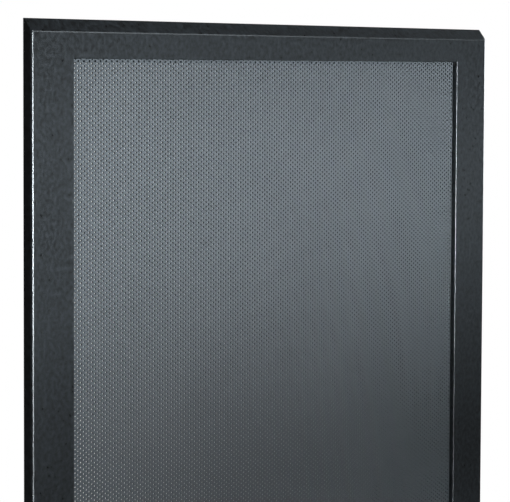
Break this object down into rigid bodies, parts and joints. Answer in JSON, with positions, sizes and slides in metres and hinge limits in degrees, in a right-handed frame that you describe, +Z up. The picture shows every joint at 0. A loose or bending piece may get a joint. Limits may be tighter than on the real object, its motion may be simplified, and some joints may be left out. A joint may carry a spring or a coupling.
{
  "type": "perforated rack door",
  "caption": "Black folded-steel rack door with sloped top and bottom edges, a grey perforated steel insert, a key lock and lift-away hinges.",
  "frame": {"origin": "between the lower hinge leaf's two screw holes, on the face that meets the rack", "axes": "+X across the door towards the hinged edge, +Y from the front face into the rack, +Z up"},
  "size_m": [0.58, 0.039, 0.747],
  "materials": {
    "black_paint": "fine textured black powder coat",
    "panel_coat": "satin graphite grey powder coat on perforated sheet",
    "zinc_steel": "bright zinc plating",
    "lock_chrome": "nickel-plated zinc casting",
    "nylon": "natural nylon"
  },
  "bodies": {
    "rack_leaves": {"lower_rack_leaf": "black_paint", "upper_rack_leaf": "black_paint", "pivot_pin": "zinc_steel", "pivot_washer": "nylon"},
    "door": {"door_frame": "black_paint", "perforated_panel": "panel_coat", "clamp_studs": "zinc_steel", "clamp_nuts": "zinc_steel", "left_lower_clamp": "black_paint", "left_upper_clamp": "black_paint", "right_lower_clamp": "black_paint", "right_upper_clamp": "black_paint", "top_clamp": "black_paint", "bottom_clamp": "black_paint", "lock_barrel": "lock_chrome", "lock_washer": "zinc_steel", "lock_nut": "zinc_steel", "lower_door_bracket": "black_paint", "upper_door_bracket": "black_paint", "bracket_rivets": "zinc_steel", "pin_spring": "zinc_steel"},
    "lock_core": {"lock_plug": "lock_chrome", "lock_cam": "zinc_steel", "cam_screw": "zinc_steel"},
    "sprung_pin": {"hinge_pin": "zinc_steel", "pin_clip": "zinc_steel"}
  },
  "joints": [
    {"name": "door_swing", "type": "hinge", "parent": "rack_leaves", "child": "door", "pos_m": [0.031, -0.011, -0.0125], "axis": [0, 0, 1], "range_deg": [0, 110]},
    {"name": "lock_turn", "type": "hinge", "parent": "door", "child": "lock_core", "pos_m": [-0.522, -0.0285, 0.3565], "axis": [0, 1, 0], "range_deg": [0, 90]},
    {"name": "pin_pull", "type": "slide", "parent": "door", "child": "sprung_pin", "axis": [0, 0, -1], "range_m": [0, 0.006], "stiffness_N_per_m": 600, "springref_m": -0.008, "deforming": ["pin_spring"]}
  ]
}
